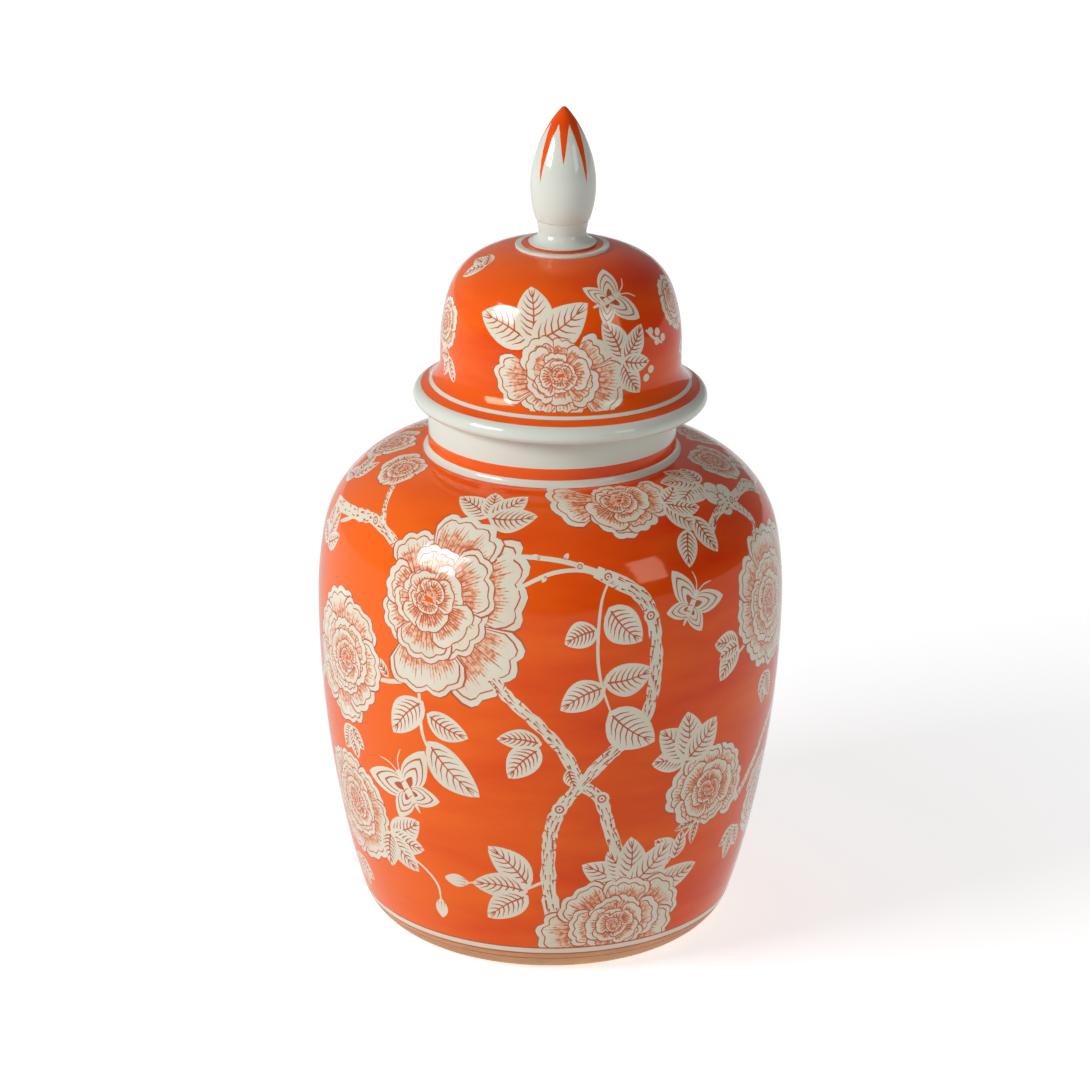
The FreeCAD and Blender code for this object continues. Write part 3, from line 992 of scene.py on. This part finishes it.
def paint_lid(canvas):
    """The brim's stripes and a peony with leaves and a butterfly, front and back."""
    canvas.band(None, None, GROUND)
    for middle, seed in ((180, 40), (0, 0)):
        side = Side(canvas, middle)
        spot = side.spot
        origin = spot(0, 35)
        spray(spot(-14, 38), ((70, 1.25), (8, 1.15), (-52, 1.3)), 20, 13)
        peony(spot(1, 24), 54, 33, seed + 1, core=(-0.05, 0.1))
        butterfly(spot(27, 53.5, -70), 24)
        spray(spot(30, 30), ((24, 1.2), (-38, 1.1), (-150, 1.1), (-100, 0.9)), 15, 9)
        stem = side.places((45, 40), (50, 36), (56, 33))
        stroke(origin, [origin.flat(*place) for place in stem], 1.1, CREAM)
        for angle, height in ((48, 39), (53, 38), (52, 34.5), (57, 35), (47, 24), (44, 21)):
            dot(spot(angle, height), 0, 0, 1.7, CREAM, 8)
        spray(spot(-64, 60), ((95, 1.0), (140, 1.0), (60, 0.8)), 12, 7)
        peony(spot(-75, 36), 24, 22, seed + 2, rings=PEONY_RINGS[1:])
        spray(spot(-66, 24), ((150, 0.9), (100, 0.9), (-150, 0.9)), 12, 7)
        peony(spot(76, 46), 24, 24, seed + 3, rings=PEONY_RINGS[1:])
        spray(spot(88, 24), ((80, 0.9), (20, 0.9), (-50, 0.9)), 12, 7)
    canvas.stripes(None, (7.1, WHITE), (8.9, GROUND), (10.0, WHITE), (11.3, GROUND))


# ---- the knob


def knob_outline():
    """The knob: a flared base, a narrow collar and a bud that ends in a point."""
    knob = Outline(0, 0).line(12.6, 0).mark("outside").arc(13.6, 1.0, 1.0).arc(9.5, 5.0, 5.2, left=False)
    knob.line(10.4, 9.9).line(10.9, 10.5).arc(13.1, 24, 42.5).bend(11.5, 35.5).bend(6.6, 47.5)
    knob.bend(1.1, 55.3).bend(0.3, 55.7).mark("tip").line(0, 55.7)
    return knob.finish()


def knob_plain(marks, edge):
    """The paint of the knob where nothing is painted: its very tip is orange."""
    return GROUND if edge >= marks["tip"] else WHITE


def paint_knob(canvas):
    """White, with an orange tip that runs down the bud in tapering points, long and short in turn."""
    tip, points, long, short = 53.0, 8, 26.5, 35.0
    canvas.stripes(None, (tip, WHITE), (None, GROUND))
    for k in range(points):
        angle = 360 // points * k
        here = Side(canvas, angle).spot(0, tip + 0.2)
        reach = here.flat(angle, long if k % 2 else short)[1]
        down = np.linspace(0, 1, 7)
        radius = canvas.outline.point(here.along + reach * down)[0]
        merged = radius * math.radians(180 / points) * (1 - down / 0.36)
        half = np.maximum(merged, 2.3 * (1 - down) ** 0.75)
        side = np.stack([half, reach * down], 1)
        here.paint(np.concatenate([side, (side * (-1, 1))[-2::-1]]), GROUND)


# ---- putting it together


def build_jar():
    canvas = Canvas(jar_outline(), "outside", "rim", columns=152)
    paint_jar(canvas)
    return build_shell("jar_painted", canvas, jar_plain, place=(0.0, 0.0), spacing=4.5)


def build_lid():
    canvas = Canvas(lid_outline(), "outside", "pad", columns=144)
    paint_lid(canvas)
    return build_shell("lid_painted", canvas, lid_plain, place=(LID_OFFSET, RIM), spacing=3.6)


def build_knob():
    canvas = Canvas(knob_outline(), "outside", "tip", columns=96)
    paint_knob(canvas)
    return build_shell("knob_painted", canvas, knob_plain, place=(LID_OFFSET, PAD), spacing=1.6)


# ---- the studio, in metres


WORLD_DIM, WORLD_BRIGHT = 0.03, 0.34
WALL_RADIUS, WALL_TOP, WALL_SIDES = 3.9, 5.0, 48
AIM = (0.0, 0.0, 0.17)
LAMP_DISTANCE = 0.95


def build_sheet(name, points, faces, shade, rough):
    """A stage object: a sheet of matt paper, in a shade of grey, that can glow."""
    mesh = bpy.data.meshes.new(name)
    mesh.from_pydata(points, [], faces)
    sheet = bpy.data.objects.new(name, mesh)
    bpy.context.scene.collection.objects.link(sheet)
    paper = bpy.data.materials.new(name)
    paper.use_nodes = True
    shader = paper.node_tree.nodes["Principled BSDF"]
    shader.inputs["Base Color"].default_value = (shade, shade, shade, 1.0)
    shader.inputs["Roughness"].default_value = rough
    shader.inputs["Specular IOR Level"].default_value = 0.0
    shader.inputs["Emission Color"].default_value = (1.0, 1.0, 1.0, 1.0)
    mesh.materials.append(paper)
    return sheet, paper.node_tree, shader


def build_floor(name, height, near_glow, far_glow):
    """A sheet of white paper that glows a little, less around the jar than far from it."""
    corners = [(x, y, height) for x, y in ((-6, -4), (6, -4), (6, 10), (-6, 10))]
    floor, tree, shader = build_sheet(name, corners, [(0, 1, 2, 3)], 0.75, 0.9)
    place = add_node(tree, "TexCoord")
    away = add_node(tree, "VectorMath")
    away.operation = "LENGTH"
    tree.links.new(place.outputs["Object"], away.inputs[0])
    levels = {"From Min": 0.2, "From Max": 1.0, "To Min": near_glow, "To Max": far_glow}
    glow = add_node(tree, "MapRange", levels)
    tree.links.new(away.outputs["Value"], glow.inputs["Value"])
    tree.links.new(glow.outputs["Result"], shader.inputs["Emission Strength"])
    return floor


def build_wall():
    """A pale round wall behind everything, which gives no light: it only closes the horizon of low views."""
    turns = [2 * math.pi * k / WALL_SIDES for k in range(WALL_SIDES)]
    points = [
        (WALL_RADIUS * math.cos(a), WALL_RADIUS * math.sin(a), z) for z in (-0.01, WALL_TOP) for a in turns
    ]
    ring_ends = [(k, (k + 1) % WALL_SIDES) for k in range(WALL_SIDES)]
    faces = [(a, b, b + WALL_SIDES, a + WALL_SIDES) for a, b in ring_ends]
    wall, _, shader = build_sheet("wall", points, faces, 0.0, 0.5)
    shader.inputs["Emission Strength"].default_value = 0.94
    wall.visible_diffuse = False
    wall.visible_glossy = False
    wall.visible_transmission = False
    wall.visible_shadow = False
    return wall


def softbox(name, azimuth, elevation, width, height, power):
    """A rectangular lamp aimed at the jar's upper belly."""
    a, e = math.radians(azimuth), math.radians(elevation)
    way = Vector((math.sin(a) * math.cos(e), -math.cos(a) * math.cos(e), math.sin(e)))
    lamp = bpy.data.lights.new(name, "AREA")
    lamp.shape = "RECTANGLE"
    lamp.size = width
    lamp.size_y = height
    lamp.energy = power
    holder = bpy.data.objects.new(name, lamp)
    holder.location = Vector(AIM) + way * LAMP_DISTANCE
    holder.rotation_euler = way.to_track_quat("Z", "Y").to_euler()
    bpy.context.scene.collection.objects.link(holder)


def build_world():
    """A plain white studio, brighter behind the jar on the left and dim at the front on the right."""
    world = bpy.data.worlds.new("studio")
    world.use_nodes = True
    tree = world.node_tree
    place = add_node(tree, "TexCoord")
    turned = add_node(tree, "VectorMath")
    turned.operation = "DOT_PRODUCT"
    turned.inputs[1].default_value = (-0.7, 0.7, 0.1)
    tree.links.new(place.outputs["Generated"], turned.inputs[0])
    level = add_node(tree, "MapRange", {"From Min": -1.0, "To Min": WORLD_DIM, "To Max": WORLD_BRIGHT})
    tree.links.new(turned.outputs["Value"], level.inputs["Value"])
    background = tree.nodes["Background"]
    background.inputs["Color"].default_value = (1.0, 1.0, 1.0, 1.0)
    tree.links.new(level.outputs["Result"], background.inputs["Strength"])
    bpy.context.scene.world = world


def build_camera():
    """A long lens on the front, a little above the jar and very slightly tilted."""
    lens = bpy.data.cameras.new("camera")
    lens.lens = 132.0
    lens.sensor_width = 36.0
    lens.clip_end = 50.0
    camera = bpy.data.objects.new("camera", lens)
    camera.location = (0.0, -1.5334, 0.7207)
    aim = Vector((-0.0024, 0.0, 0.1575))
    look = (camera.location - aim).to_track_quat("Z", "Y")
    camera.rotation_euler = (look @ Quaternion((0.0, 0.0, 1.0), math.radians(0.72))).to_euler()
    bpy.context.scene.collection.objects.link(camera)
    bpy.context.scene.camera = camera


for piece, body, node, slot in (
    (build_jar(), "jar", "jar_body", "jar_glaze"),
    (build_lid(), "lid", "lid_dome", "lid_glaze"),
    (build_knob(), "lid", "lid_finial", "knob_glaze"),
):
    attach(piece, body)
    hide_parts(node)

# The camera sees one floor. The jar is lit by, and mirrors, another one just under it, which glows less.
shown_floor = build_floor("shown_floor", 0.0, 0.66, 0.93)
shown_floor.visible_diffuse = False
shown_floor.visible_glossy = False
lit_floor = build_floor("lit_floor", -0.0004, 0.58, 0.60)
lit_floor.visible_camera = False
build_wall()
build_world()
softbox("key", -60, 28, 0.40, 0.33, 6.0)
softbox("fill", 51, 25, 0.26, 0.36, 1.1)
build_camera()
bpy.context.scene.view_settings.view_transform = "Standard"
